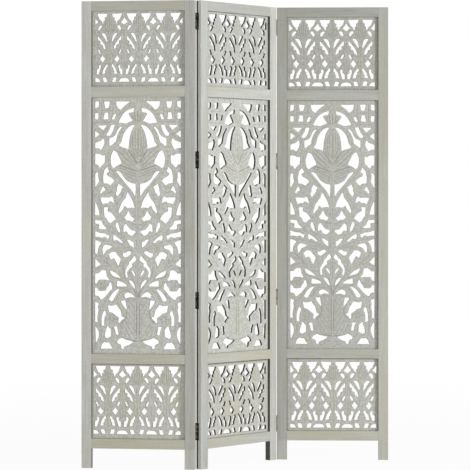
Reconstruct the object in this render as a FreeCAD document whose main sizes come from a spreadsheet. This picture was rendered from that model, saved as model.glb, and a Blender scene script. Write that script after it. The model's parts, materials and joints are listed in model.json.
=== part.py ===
import FreeCAD, Part
import os
import re

# Folding room divider: three equal wooden panels hinged in a zigzag.
# Each panel is a frame of two stiles and four rails around three pierced boards.
# Millimetres and degrees. +Z is up, +Y runs away from the viewer, +X is to the viewer's right.
# The origin is on the floor, at the middle of the box round the standing divider.

driving_sizes = {
    # Panel and its frame
    "panel_width": 405,
    "panel_height": 1650,
    "frame_thickness": 22,
    "stile_width": 36,
    "top_rail_height": 35,
    "upper_rail_height": 38,
    "lower_rail_height": 35,
    "bottom_rail_height": 35,
    "top_window_height": 266,
    "bottom_window_height": 264,
    "leg_height": 70,
    # Grooves round the windows, and how the boards and rails sit in them
    "groove_depth": 8,
    "fit_clearance": 0.1,
    "end_clearance": 1,
    "cut_overrun": 2,
    # Pierced boards
    "fret_thickness": 8,
    "fret_setback": 10,
    "main_side_margin": 11.5,
    "main_end_margin": 16,
    "small_side_margin": 10,
    "small_end_margin": 11,
    # Hinges: two drops from the top, two rises from the floor
    "first_hinge_drop": 73,
    "second_hinge_drop": 561,
    "third_hinge_rise": 594,
    "fourth_hinge_rise": 132,
    "hinge_gap": 1.2,
    "leaf_height": 60,
    "leaf_width": 12,
    "leaf_thickness": 0.5,
    "knuckle_radius": 1.5,
    "knuckle_play": 0.4,
    "axis_standoff": 1.6,
    # Stance
    "middle_panel_turn": 48,
    "left_fold_angle": 55.5,
    "right_fold_angle": 50.2,
}

derived_sizes = {
    "window_width": "=panel_width - 2 * stile_width",
    "groove_width": "=fret_thickness + 2 * fit_clearance",
    "groove_setback": "=fret_setback - fit_clearance",
    "tongue": "=groove_depth - end_clearance",
    "bottom_window_base": "=leg_height + bottom_rail_height",
    "lower_rail_base": "=bottom_window_base + bottom_window_height",
    "main_window_base": "=lower_rail_base + lower_rail_height",
    "top_rail_base": "=panel_height - top_rail_height",
    "top_window_base": "=top_rail_base - top_window_height",
    "upper_rail_base": "=top_window_base - upper_rail_height",
    "main_window_height": "=upper_rail_base - main_window_base",
    "knuckle_length": "=(leaf_height - knuckle_play) / 2",
}

# The main board's design is the same on both sides of its centre line. Each opening is
# listed once as corner points: the share of the half width out from the centre line and the
# share of the height above the bottom edge of the pierced field. A third number bows the side
# that starts there into an arc, by that share of its length, to the left of its direction.
main_opening_shares = [
    # Arcade along the top, with crossing bands in the corners
    [(0.17, 1.000), (0.44, 0.966), (0.51, 1.000)],
    [(0.65, 1.000), (0.67, 0.975), (0.77, 0.975), (0.78, 1.000)],
    [(0.90, 1.000), (0.91, 0.978), (0.99, 0.972), (0.99, 1.000)],
    [(0.69, 0.956), (0.77, 0.955), (0.80, 0.929), (0.68, 0.929)],
    [(0.91, 0.953), (0.99, 0.953), (0.99, 0.929), (0.91, 0.929)],
    [(0.53, 0.905), (0.62, 0.905), (0.73, 0.864), (0.63, 0.863)],
    [(0.73, 0.904), (0.93, 0.903), (0.80, 0.885)],
    [(0.88, 0.869), (0.99, 0.882), (0.99, 0.852)],
    # Beside the finial under the big arch
    [(0.08, 0.973), (0.22, 0.952), (0.12, 0.921), (0.45, 0.913, -0.16)],
    # Between the two arches, and outside them
    [(0.38, 0.899), (0.52, 0.866), (0.66, 0.850), (0.65, 0.820), (0.50, 0.838)],
    [(0.80, 0.853), (0.99, 0.832), (0.99, 0.812), (0.85, 0.804), (0.77, 0.833)],
    # Over the shoulders of the lily
    [(0.06, 0.905, 0.18), (0.38, 0.838), (0.44, 0.822), (0.22, 0.805, -0.09)],
    [(0.57, 0.802), (0.63, 0.768), (0.56, 0.730), (0.37, 0.751), (0.47, 0.789)],
    [(0.76, 0.784), (0.99, 0.789), (0.99, 0.747), (0.88, 0.731), (0.77, 0.752)],
    # Beside the lily's stem
    [(0.05, 0.667), (0.20, 0.673), (0.50, 0.719), (0.06, 0.614)],
    [(0.71, 0.737), (0.80, 0.705), (0.79, 0.671), (0.64, 0.661), (0.54, 0.681)],
    [(0.92, 0.715), (0.99, 0.704), (0.99, 0.650), (0.90, 0.678)],
    [(0.45, 0.668), (0.50, 0.630), (0.48, 0.614), (0.34, 0.653)],
    [(0.24, 0.636), (0.39, 0.586), (0.44, 0.547), (0.31, 0.580), (0.08, 0.570), (0.12, 0.602)],
    [(0.60, 0.616), (0.87, 0.612), (0.81, 0.584), (0.66, 0.592), (0.54, 0.588)],
    [(0.99, 0.601), (0.99, 0.541), (0.88, 0.541)],
    [(0.68, 0.572), (0.79, 0.572), (0.77, 0.535), (0.63, 0.507), (0.51, 0.525), (0.68, 0.555)],
    # Round the bell flower
    [(0.22, 0.560), (0.32, 0.531), (0.13, 0.515), (0.08, 0.527)],
    [(0.84, 0.518), (0.99, 0.520), (0.99, 0.507), (0.88, 0.485), (0.72, 0.486)],
    [(0.28, 0.507), (0.34, 0.490), (0.32, 0.472), (0.14, 0.457), (0.05, 0.474)],
    # Sprays of leaves below it
    [(0.26, 0.443), (0.09, 0.407), (0.09, 0.432)],
    [(0.32, 0.426), (0.56, 0.462), (0.56, 0.437)],
    [(0.65, 0.460), (0.99, 0.476), (0.99, 0.453), (0.77, 0.453), (0.69, 0.440)],
    [(0.84, 0.430), (0.99, 0.440), (0.99, 0.386), (0.93, 0.386)],
    [(0.59, 0.414), (0.76, 0.422), (0.82, 0.404), (0.80, 0.380), (0.73, 0.400)],
    [(0.14, 0.391), (0.35, 0.388), (0.27, 0.369)],
    [(0.07, 0.378), (0.20, 0.352), (0.29, 0.318), (0.26, 0.288), (0.22, 0.320), (0.03, 0.363)],
    [(0.45, 0.332), (0.39, 0.362), (0.50, 0.390), (0.68, 0.384), (0.62, 0.360)],
    [(0.86, 0.343), (0.99, 0.368), (0.99, 0.330)],
    [(0.38, 0.283), (0.50, 0.306), (0.65, 0.318), (0.61, 0.297)],
    # Round the upper rosettes and the stems out of the vase
    [(0.74, 0.318), (0.99, 0.305), (0.99, 0.264), (0.90, 0.281), (0.68, 0.278)],
    [(0.63, 0.271), (0.74, 0.236), (0.99, 0.246), (0.99, 0.216), (0.86, 0.199), (0.59, 0.244)],
    [(0.24, 0.252), (0.31, 0.267), (0.48, 0.276), (0.49, 0.254)],
    [(0.42, 0.242), (0.54, 0.234), (0.67, 0.202), (0.61, 0.193)],
    [(0.06, 0.207), (0.22, 0.229), (0.32, 0.217), (0.29, 0.205)],
    # Beside the vase and its lower rosettes
    [(0.29, 0.196), (0.40, 0.195), (0.27, 0.158)],
    [(0.50, 0.180), (0.70, 0.178), (0.67, 0.151), (0.44, 0.127), (0.43, 0.104), (0.30, 0.127)],
    [(0.90, 0.184), (0.99, 0.191), (0.99, 0.109), (0.93, 0.109)],
    [(0.77, 0.158), (0.84, 0.125), (0.84, 0.094), (0.77, 0.095)],
    [(0.47, 0.091), (0.56, 0.090), (0.50, 0.056), (0.44, 0.060)],
    [(0.71, 0.097), (0.77, 0.050), (0.62, 0.051), (0.62, 0.079)],
    [(0.99, 0.094), (0.91, 0.072), (0.91, 0.046), (0.99, 0.019)],
    # Under the vase's foot
    [(0.10, 0.031), (0.36, 0.046), (0.48, 0.030), (0.38, 0.001)],
    [(0.58, 0.001), (0.67, 0.026), (0.80, 0.026), (0.87, 0.001)],
]

# The small boards hold three palmettes side by side, each the same on both sides of its axis.
# Across shares are of half a palmette's width, measured out from its axis.
palmette_opening_shares = [
    # Pennant, leaf, long slit and diamond, from the top down
    [(0.13, 1.000), (0.88, 1.000), (0.46, 0.843)],
    [(0.13, 0.567), (0.22, 0.685), (0.53, 0.716)],
    [(0.23, 0.453), (0.83, 0.684), (0.64, 0.552)],
    [(0.49, 0.404), (0.71, 0.343), (0.48, 0.279), (0.28, 0.342)],
    # Pair of slits at the root, and the block under them
    [(0.14, 0.284), (0.54, 0.120), (0.23, 0.130)],
    [(0.67, 0.262), (0.91, 0.112), (0.72, 0.112)],
    [(0.13, 0.006), (0.24, 0.077), (0.50, 0.075), (0.42, 0.006)],
]

# Openings on the line where two palmettes meet: the half on one side of that line, from top to
# bottom. The other half mirrors it, and at the ends of the board only the inner half is cut.
meeting_opening_shares = [
    [(0.00, 0.950), (0.27, 0.872), (0.00, 0.828)],
    [(0.00, 0.068), (0.36, 0.006), (0.00, 0.006)],
]

palmette_count = 3

document = FreeCAD.newDocument("room_divider")
sheet = document.addObject("Spreadsheet::Sheet", "sizes")
for row, (alias, content) in enumerate({**driving_sizes, **derived_sizes}.items(), start=1):
    sheet.set(f"A{row}", alias)
    sheet.set(f"B{row}", str(content))
    sheet.setAlias(f"B{row}", alias)
document.recompute()

pieces = []


def bind(item, property_name, formula):
    # Ties a property to the sheet. Every word of the formula is an alias there.
    item.setExpression(property_name, re.sub(r"[a-z]\w+", r"sizes.\g<0>", formula))


def block(size, corner):
    # A box from three formulas for its length, depth and height, and three for its low corner.
    box = document.addObject("Part::Box", "block")
    for property_name, formula in zip(("Length", "Width", "Height"), size):
        bind(box, property_name, formula)
    for axis, formula in zip("xyz", corner):
        bind(box, f"Placement.Base.{axis}", formula)
    return box


def round_bar(radius, length, base):
    # An upright cylinder on the Z axis.
    bar = document.addObject("Part::Cylinder", "round_bar")
    bind(bar, "Radius", radius)
    bind(bar, "Height", length)
    bind(bar, "Placement.Base.z", base)
    return bar


def fuse(items):
    joined = document.addObject("Part::MultiFuse", "joined")
    joined.Shapes = items
    return joined


def cut(item, tool):
    trimmed = document.addObject("Part::Cut", "trimmed")
    trimmed.Base = item
    trimmed.Tool = tool
    return trimmed


def finish(item, label, place):
    item.Label = label
    item.Placement = place
    pieces.append(item)


def stile(corner_x, groove_x):
    # Upright with one groove in its inner edge, open at the top and stopped above the leg.
    blank = block(("stile_width", "frame_thickness", "panel_height"), (corner_x, "0", "0"))
    groove_size = ("groove_depth + cut_overrun", "groove_width", "panel_height - leg_height + cut_overrun")
    groove = block(groove_size, (groove_x, "groove_setback", "leg_height"))
    return cut(blank, groove)


def rail(base, height, grooved_below, grooved_above):
    # Cross member with a stub tenon at each end, as thick as the boards, between its grooves.
    blank = block(("window_width", "frame_thickness", height), ("stile_width", "0", base))
    tenon_base = f"{base} + groove_depth" if grooved_below else base
    tenon_height = f"{height} - {grooved_below + grooved_above} * groove_depth"
    tenon_size = ("window_width + 2 * tongue", "fret_thickness", tenon_height)
    tenon = block(tenon_size, ("stile_width - tongue", "fret_setback", tenon_base))
    member = fuse([blank, tenon])
    groove_size = ("window_width + 2 * cut_overrun", "groove_width", "groove_depth + cut_overrun")
    groove_start = "stile_width - cut_overrun"
    if grooved_below:
        groove = block(groove_size, (groove_start, "groove_setback", f"{base} - cut_overrun"))
        member = cut(member, groove)
    if grooved_above:
        groove = block(groove_size, (groove_start, "groove_setback", f"{base} + {height} - groove_depth"))
        member = cut(member, groove)
    return member


def outline_wire(points, origin_x, reach_x, reach_z):
    # Closed outline in the XZ plane about the point (origin_x, 0), from shares of the two reaches.
    # A negative reach_x mirrors it.
    corners = [FreeCAD.Vector(origin_x + point[0] * reach_x, 0, point[1] * reach_z) for point in points]
    side_of_bow = 1 if reach_x > 0 else -1
    edges = []
    for index, start in enumerate(corners):
        end = corners[(index + 1) % len(corners)]
        if len(points[index]) == 3:
            chord = end - start
            left_of_chord = FreeCAD.Vector(-chord.z, 0, chord.x) * side_of_bow
            middle = (start + end) / 2 + left_of_chord * points[index][2]
            edges.append(Part.Arc(start, middle, end).toShape())
        else:
            edges.append(Part.LineSegment(start, end).toShape())
    return Part.Wire(edges)


def main_field_wires(width, height):
    # The listed openings and their mirror images, about the middle of the field's bottom edge.
    half = width / 2
    wires = []
    for points in main_opening_shares:
        wires.append(outline_wire(points, 0, half, height))
        wires.append(outline_wire(points, 0, -half, height))
    return wires


def small_field_wires(width, height):
    # Palmettes in a row, then the openings where they meet each other and the ends of the field.
    half_palmette = width / (2 * palmette_count)
    wires = []
    for index in range(palmette_count):
        axis_x = (2 * index + 1 - palmette_count) * half_palmette
        for points in palmette_opening_shares:
            wires.append(outline_wire(points, axis_x, half_palmette, height))
            wires.append(outline_wire(points, axis_x, -half_palmette, height))
    for half_outline in meeting_opening_shares:
        mirrored = [(-across, up) for across, up in reversed(half_outline) if across > 0]
        for index in range(1, palmette_count):
            meeting_x = (2 * index - palmette_count) * half_palmette
            whole = [point for point in half_outline if point[0] > 0 or point[1] > half_outline[-1][1]]
            wires.append(outline_wire(whole + mirrored, meeting_x, half_palmette, height))
        wires.append(outline_wire(half_outline, -width / 2, half_palmette, height))
        wires.append(outline_wire(half_outline, width / 2, -half_palmette, height))
    return wires


def pierced_face(name, window_height, field_wires, side_margin, end_margin):
    # A board's face in the XZ plane, about the middle of its pierced field's bottom edge.
    field_width = sheet.window_width - 2 * side_margin
    field_height = window_height - 2 * end_margin
    left = -sheet.window_width / 2 - sheet.tongue
    bottom = -end_margin - sheet.tongue
    right = -left
    top = window_height - end_margin + sheet.tongue
    rim = [(left, bottom), (right, bottom), (right, top), (left, top), (left, bottom)]
    rim_wire = Part.makePolygon([FreeCAD.Vector(x, 0, z) for x, z in rim])
    face = document.addObject("Part::Feature", name)
    opening_wires = field_wires(field_width, field_height)
    face.Shape = Part.makeFace([rim_wire] + opening_wires, "Part::FaceMakerBullseye")
    return face


def board(face):
    # A pierced face made as thick as the boards are.
    plate = document.addObject("Part::Extrusion", "board")
    plate.Base = face
    plate.DirMode = "Custom"
    plate.Dir = FreeCAD.Vector(0, 1, 0)
    bind(plate, "LengthFwd", "fret_thickness")
    plate.Solid = True
    return plate


def hinge_leaf(plate_x, knuckle_base):
    # Leaf about the hinge axis, which runs up through the origin. The two leaves of a hinge have
    # one closed knuckle each, one above the other, and the pin is out of sight inside them.
    plate_size = ("leaf_thickness", "leaf_width", "leaf_height")
    plate = block(plate_size, (plate_x, "axis_standoff", "-leaf_height / 2"))
    neck_size = ("leaf_thickness", "axis_standoff", "knuckle_length")
    neck = block(neck_size, (plate_x, "0", knuckle_base))
    knuckle = round_bar("knuckle_radius", "knuckle_length", knuckle_base)
    return fuse([plate, neck, knuckle])


def leaf_set(plate_x, knuckle_base):
    # The four equal leaves of one fold on one panel, one at each hinge's height.
    leaves = []
    for height in (
        "panel_height - first_hinge_drop",
        "panel_height - second_hinge_drop",
        "third_hinge_rise",
        "fourth_hinge_rise",
    ):
        leaf = hinge_leaf(plate_x, knuckle_base)
        bind(leaf, "Placement.Base.z", height)
        leaves.append(leaf)
    group = document.addObject("Part::Compound", "leaf_set")
    group.Links = leaves
    return group


# Where the panels stand. A panel's own corner is its front, left, bottom one, and its X runs
# along it. The left fold's hinges are behind the panels and the right fold's hinges before them.
upward = FreeCAD.Vector(0, 0, 1)
half_gap = sheet.hinge_gap / 2
pivot_behind = sheet.frame_thickness + sheet.axis_standoff
left_turn = sheet.middle_panel_turn - sheet.left_fold_angle
right_turn = sheet.middle_panel_turn - sheet.right_fold_angle
middle_spin = FreeCAD.Rotation(upward, sheet.middle_panel_turn)
left_spin = FreeCAD.Rotation(upward, left_turn)
right_spin = FreeCAD.Rotation(upward, right_turn)
left_pivot = middle_spin.multVec(FreeCAD.Vector(-half_gap, pivot_behind, 0))
right_pivot = middle_spin.multVec(FreeCAD.Vector(sheet.panel_width + half_gap, -sheet.axis_standoff, 0))
left_corner = left_pivot - left_spin.multVec(FreeCAD.Vector(sheet.panel_width + half_gap, pivot_behind, 0))
right_corner = right_pivot - right_spin.multVec(FreeCAD.Vector(-half_gap, -sheet.axis_standoff, 0))

stance = {
    "left": FreeCAD.Placement(left_corner, left_spin),
    "middle": FreeCAD.Placement(FreeCAD.Vector(0, 0, 0), middle_spin),
    "right": FreeCAD.Placement(right_corner, right_spin),
}
footprint = FreeCAD.BoundBox()
for place in stance.values():
    for across in (0, sheet.panel_width):
        for inward in (0, sheet.frame_thickness):
            footprint.add(place.multVec(FreeCAD.Vector(across, inward, 0)))
to_origin = FreeCAD.Placement(-footprint.Center, FreeCAD.Rotation())

small_margins = (sheet.small_side_margin, sheet.small_end_margin)
main_margins = (sheet.main_side_margin, sheet.main_end_margin)
top_face = pierced_face("top_face", sheet.top_window_height, small_field_wires, *small_margins)
main_face = pierced_face("main_face", sheet.main_window_height, main_field_wires, *main_margins)
bottom_face = pierced_face("bottom_face", sheet.bottom_window_height, small_field_wires, *small_margins)

for panel, place in stance.items():
    stand = to_origin.multiply(place)
    inner_groove = "stile_width - groove_depth"
    far_groove = "panel_width - stile_width - cut_overrun"
    finish(stile("0", inner_groove), f"{panel}_panel_left_stile", stand)
    finish(stile("panel_width - stile_width", far_groove), f"{panel}_panel_right_stile", stand)
    finish(rail("top_rail_base", "top_rail_height", True, False), f"{panel}_panel_top_rail", stand)
    finish(rail("upper_rail_base", "upper_rail_height", True, True), f"{panel}_panel_upper_rail", stand)
    finish(rail("lower_rail_base", "lower_rail_height", True, True), f"{panel}_panel_lower_rail", stand)
    finish(rail("leg_height", "bottom_rail_height", False, True), f"{panel}_panel_bottom_rail", stand)
    for label, face, field_base in (
        ("top_fretwork", top_face, sheet.top_window_base + sheet.small_end_margin),
        ("main_fretwork", main_face, sheet.main_window_base + sheet.main_end_margin),
        ("bottom_fretwork", bottom_face, sheet.bottom_window_base + sheet.small_end_margin),
    ):
        seat = FreeCAD.Vector(sheet.panel_width / 2, sheet.fret_setback, field_base)
        board_place = stand.multiply(FreeCAD.Placement(seat, FreeCAD.Rotation()))
        finish(board(face), f"{panel}_panel_{label}", board_place)

half_turn = 180
for fold, pivot, facing, outer_turn in (
    ("left", left_pivot, half_turn, left_turn),
    ("right", right_pivot, 0, right_turn),
):
    seat = pivot - footprint.Center
    middle_place = FreeCAD.Placement(seat, FreeCAD.Rotation(upward, sheet.middle_panel_turn + facing))
    outer_place = FreeCAD.Placement(seat, FreeCAD.Rotation(upward, outer_turn + facing))
    lower_leaves = leaf_set("-hinge_gap / 2", "-leaf_height / 2")
    upper_leaves = leaf_set("hinge_gap / 2 - leaf_thickness", "knuckle_play / 2")
    finish(lower_leaves, f"{fold}_fold_lower_knuckle_leaves", middle_place)
    finish(upper_leaves, f"{fold}_fold_upper_knuckle_leaves", outer_place)

document.recompute()
for item in document.Objects:
    if "Invalid" in item.State or "Error" in item.State:
        raise RuntimeError(f"{item.Label} did not recompute: {item.State}")
for piece in pieces:
    if piece.Shape.isNull() or not piece.Shape.isValid() or not piece.Shape.Solids:
        raise RuntimeError(f"{piece.Label} is not a valid solid")

os.makedirs("parts", exist_ok=True)
for piece in pieces:
    piece.Shape.exportStep(os.path.join("parts", f"{piece.Label}.step"))
print(f"{len(pieces)} pieces written")
print("left fold axis at", left_pivot - footprint.Center)
print("right fold axis at", right_pivot - footprint.Center)
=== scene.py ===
import json
import math
import bpy
import numpy as np
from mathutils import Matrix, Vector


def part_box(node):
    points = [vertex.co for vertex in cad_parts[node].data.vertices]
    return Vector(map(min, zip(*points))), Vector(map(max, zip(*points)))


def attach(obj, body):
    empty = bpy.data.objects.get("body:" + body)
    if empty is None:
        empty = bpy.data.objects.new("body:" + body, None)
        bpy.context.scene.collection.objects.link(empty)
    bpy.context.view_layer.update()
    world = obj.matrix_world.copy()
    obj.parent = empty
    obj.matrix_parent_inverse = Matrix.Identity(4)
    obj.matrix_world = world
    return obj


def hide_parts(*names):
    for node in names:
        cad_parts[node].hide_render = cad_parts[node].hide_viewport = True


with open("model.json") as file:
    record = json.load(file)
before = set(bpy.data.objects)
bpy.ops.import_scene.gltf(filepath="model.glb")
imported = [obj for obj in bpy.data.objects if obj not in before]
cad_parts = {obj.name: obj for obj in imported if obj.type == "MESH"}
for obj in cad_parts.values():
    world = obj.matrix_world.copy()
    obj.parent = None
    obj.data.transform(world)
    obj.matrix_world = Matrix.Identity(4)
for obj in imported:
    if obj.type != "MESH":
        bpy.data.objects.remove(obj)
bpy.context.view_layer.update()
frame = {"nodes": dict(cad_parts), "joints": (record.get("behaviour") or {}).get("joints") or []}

# Folding room divider: three carved and pierced panels in a grey wash, hinged in a zigzag.
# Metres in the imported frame. Boards are worked out in millimetres in their panel's own frame:
# x along the panel from its left edge, y from its front face back, z up.

panelSizes = {
    "width": 0.405,
    "height": 1.65,
    "legTop": 0.070,        # lower edge of the bottom rails
    "thickness": 0.022,
    "hingeGap": 0.0012,     # between the stiles at a fold
    "standoff": 0.0016,     # fold axis off the faces
    "stileWidth": 0.036,
    "boardSetback": 0.010,  # frame face to board face
    "boardThickness": 0.008,
}

windowSides = (panelSizes["stileWidth"], panelSizes["width"] - panelSizes["stileWidth"])
outerSides = (0.0, panelSizes["width"])
folds = {joint["name"]: joint for joint in frame["joints"]}


def turned(angle, across, inward):
    return np.array([across * math.cos(angle) - inward * math.sin(angle),
                     across * math.sin(angle) + inward * math.cos(angle)])


def panelPlaces():
    # The two fold axes give the middle panel's turn, and the joints' upper limits, where
    # neighbours are in line, give the outer panels' turns from it.
    halfGap, standoff = panelSizes["hingeGap"] / 2, panelSizes["standoff"]
    width, behind = panelSizes["width"], panelSizes["thickness"] + panelSizes["standoff"]
    leftAxis, rightAxis = (np.array(folds[name]["pos_m"][:2]) for name in ("left_fold", "right_fold"))
    span = rightAxis - leftAxis
    middleTurn = math.atan2(span[1], span[0]) - math.atan2(-standoff - behind, width + 2 * halfGap)
    leftTurn = middleTurn - math.radians(folds["left_fold"]["range_deg"][1])
    rightTurn = middleTurn - math.radians(folds["right_fold"]["range_deg"][1])
    return {
        "left": (leftAxis - turned(leftTurn, width + halfGap, behind), leftTurn),
        "middle": (leftAxis - turned(middleTurn, -halfGap, behind), middleTurn),
        "right": (rightAxis - turned(rightTurn, -halfGap, -standoff), rightTurn),
    }


places = panelPlaces()


def toWorld(panelName, across, inward, up):
    # Panel millimetres to metres in the frame: turned about Z, then moved to the panel's corner.
    corner, turn = places[panelName]
    x, y = np.asarray(across) / 1000, np.asarray(inward) / 1000
    return np.stack([corner[0] + x * math.cos(turn) - y * math.sin(turn),
                     corner[1] + x * math.sin(turn) + y * math.cos(turn),
                     np.asarray(up) / 1000 + 0 * x], axis=-1)


# Carving

# Openings of the tall board, one side of the centre line: percent of the half width, and
# thousandths of the height of the pierced field.
tallOpenings = [
    [(17, 1000), (30, 984), (40.5, 965), (46, 973), (49.5, 983), (51, 1000)],
    [(65, 1000), (67, 978), (70, 974), (76, 974), (79, 1000)],
    [(90, 1000), (91, 979), (99, 972), (99, 1000)],
    [(8, 974), (10, 957), (19, 955), (22, 952), (20, 944), (12, 922), (20, 917), (28, 910), (35, 913),
     (45, 914), (41, 930), (35, 948), (28, 960), (20, 968)],
    [(50, 948), (56, 949), (61, 928), (54, 928)],
    [(69, 956), (77, 955), (80, 929), (68, 929)],
    [(91, 953), (99, 953), (99, 929), (91, 929)],
    [(53, 905), (62, 905), (66, 885), (73, 868), (71, 861), (64, 862), (60, 872), (57, 882)],
    [(71, 904), (94, 904), (80, 884)],
    [(88, 869), (99, 882), (99, 852)],
    [(36, 896), (41, 897), (47, 885), (50, 870), (55, 858), (66, 850), (66, 821), (63, 820), (55, 832),
     (51, 836), (48, 860), (43, 880)],
    [(80, 853), (86, 841), (99, 833), (99, 812), (91, 812), (85, 804), (79, 822), (77, 837)],
    [(6, 905), (15, 903), (22, 895), (28, 883), (33, 870), (36, 855), (38, 838), (45, 822), (35, 815),
     (25, 810), (22, 805), (21, 825), (20, 845), (18, 862), (15, 880), (11, 893)],
    [(57, 802), (61, 785), (63, 770), (62, 750), (60, 738), (56, 730), (48, 740), (37, 750), (40, 765),
     (44, 778), (48, 792), (53, 800)],
    [(76, 785), (82, 780), (87, 787), (99, 789), (99, 747), (93, 746), (88, 731), (83, 742), (77, 752),
     (76, 765)],
    [(5, 667), (14, 669), (20, 674), (28, 683), (33, 695), (38, 710), (44, 718), (51, 718), (42, 698),
     (36, 686), (30, 672), (24, 660), (15, 642), (10, 628), (6, 613), (5, 640)],
    [(71, 737), (78, 722), (81, 695), (80, 671), (71, 670), (64, 661), (54, 680), (60, 690), (70, 700),
     (73, 710), (66, 718)],
    [(92, 715), (97, 712), (99, 704), (99, 650), (90, 678), (92, 695)],
    [(45, 668), (49, 650), (49, 638), (52, 628), (48, 614), (41, 630), (38, 640), (38, 647), (34, 653)],
    [(80, 659), (84, 650), (88, 632), (85, 628), (80, 639), (75, 642)],
    [(24, 636), (28, 612), (33, 600), (38, 589), (45, 556), (43, 545), (34, 566), (31, 580), (25, 570),
     (13, 573), (7, 570), (10, 590), (14, 605)],
    [(60, 617), (66, 611), (75, 612), (87, 612), (85, 600), (81, 584), (77, 589), (67, 590), (66, 598),
     (60, 594), (54, 588), (57, 608)],
    [(99, 601), (99, 541), (88, 541), (90, 560), (94, 580)],
    [(68, 572), (79, 572), (78, 555), (77, 535), (72, 526), (69, 514), (63, 507), (59, 515), (51, 525),
     (56, 540), (62, 550), (69, 555), (70, 562)],
    [(22, 560), (27, 541), (32, 532), (27, 521), (19, 520), (13, 515), (8, 527), (16, 537), (19, 549)],
    [(84, 518), (99, 520), (99, 507), (91, 506), (89, 500), (91, 490), (88, 485), (74, 484), (72, 488),
     (80, 500)],
    [(28, 507), (33, 498), (34, 474), (31, 473), (27, 478), (22, 463), (14, 457), (5, 472), (7, 477),
     (16, 480), (20, 488)],
    [(47, 512), (51, 508), (52, 497), (47, 478), (43, 470), (41, 474), (42, 485), (44, 498)],
    [(17, 440), (26, 442), (18, 420), (9, 408), (9, 431), (15, 434)],
    [(32, 427), (44, 448), (56, 462), (58, 450), (55, 437), (49, 442), (40, 430)],
    [(65, 460), (70, 459), (75, 466), (88, 468), (99, 476), (99, 453), (92, 454), (83, 450), (77, 455),
     (71, 447), (69, 440)],
    [(84, 429), (90, 435), (99, 440), (99, 387), (94, 384), (93, 390), (92, 405), (90, 415)],
    [(59, 414), (63, 417), (75, 422), (80, 415), (82, 405), (81, 385), (80, 380), (74, 394), (73, 400),
     (68, 404), (62, 408)],
    [(14, 390), (17, 394), (22, 395), (26, 390), (28, 387), (34, 388), (35, 383), (34, 374), (31, 372),
     (28, 369), (22, 376), (16, 384)],
    [(7, 378), (10, 372), (15, 360), (20, 352), (21, 340), (25, 333), (29, 318), (29, 300), (27, 288),
     (23, 290), (25, 312), (18, 328), (12, 335), (14, 346), (6, 355), (3, 363)],
    [(5, 289), (7, 305), (11, 317), (16, 317), (11, 302)],
    [(45, 333), (39, 362), (43, 372), (48, 381), (50, 390), (60, 392), (68, 382), (63, 360), (57, 367),
     (54, 365), (49, 345)],
    [(86, 343), (92, 352), (99, 368), (99, 330), (93, 336)],
    [(38, 283), (45, 297), (52, 307), (65, 318), (64, 307), (60, 297), (53, 291), (45, 288)],
    [(74, 317), (83, 319), (88, 312), (92, 304), (99, 306), (99, 264), (94, 266), (92, 275), (90, 281),
     (76, 281), (69, 277), (67, 282), (71, 290), (73, 300)],
    [(63, 271), (66, 265), (67, 256), (72, 246), (74, 235), (84, 233), (90, 234), (94, 247), (99, 248),
     (99, 216), (91, 214), (86, 199), (79, 206), (72, 218), (65, 234), (59, 244), (60, 255)],
    [(24, 252), (28, 262), (35, 269), (48, 276), (49, 254), (40, 253), (30, 254)],
    [(42, 242), (48, 240), (54, 233), (60, 222), (67, 202), (66, 198), (61, 193), (57, 197), (50, 221),
     (46, 231)],
    [(6, 240), (7, 255), (10, 268), (15, 277), (21, 278), (19, 270), (14, 258)],
    [(6, 207), (10, 217), (16, 225), (22, 229), (28, 226), (32, 217), (29, 205), (24, 209), (17, 212),
     (10, 210)],
    [(29, 196), (40, 195), (38, 186), (33, 172), (27, 158), (26, 163)],
    [(50, 180), (55, 176), (62, 174), (70, 178), (67, 151), (58, 146), (51, 135), (46, 130), (44, 126),
     (45, 108), (42, 104), (38, 115), (30, 126), (37, 131), (40, 155), (47, 172)],
    [(90, 184), (99, 191), (99, 109), (93, 110), (94, 130), (91, 158), (93, 171)],
    [(77, 158), (81, 147), (84, 125), (84, 96), (78, 93), (77, 96), (78, 105), (77, 130), (73, 143)],
    [(47, 91), (56, 90), (52, 75), (51, 60), (47, 55), (44, 60), (46, 72)],
    [(71, 97), (72, 85), (75, 70), (77, 50), (75, 46), (70, 43), (67, 48), (62, 51), (62, 79), (66, 86)],
    [(99, 94), (94, 83), (91, 72), (90, 60), (91, 48), (94, 35), (98, 19)],
    [(10, 31), (20, 35), (28, 38), (33, 42), (36, 46), (40, 41), (45, 37), (48, 30), (47, 22), (40, 19),
     (38, 1), (33, 1), (31, 12), (22, 17), (15, 24)],
    [(58, 1), (65, 20), (68, 27), (72, 24), (77, 28), (83, 20), (87, 1)],
]

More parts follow.
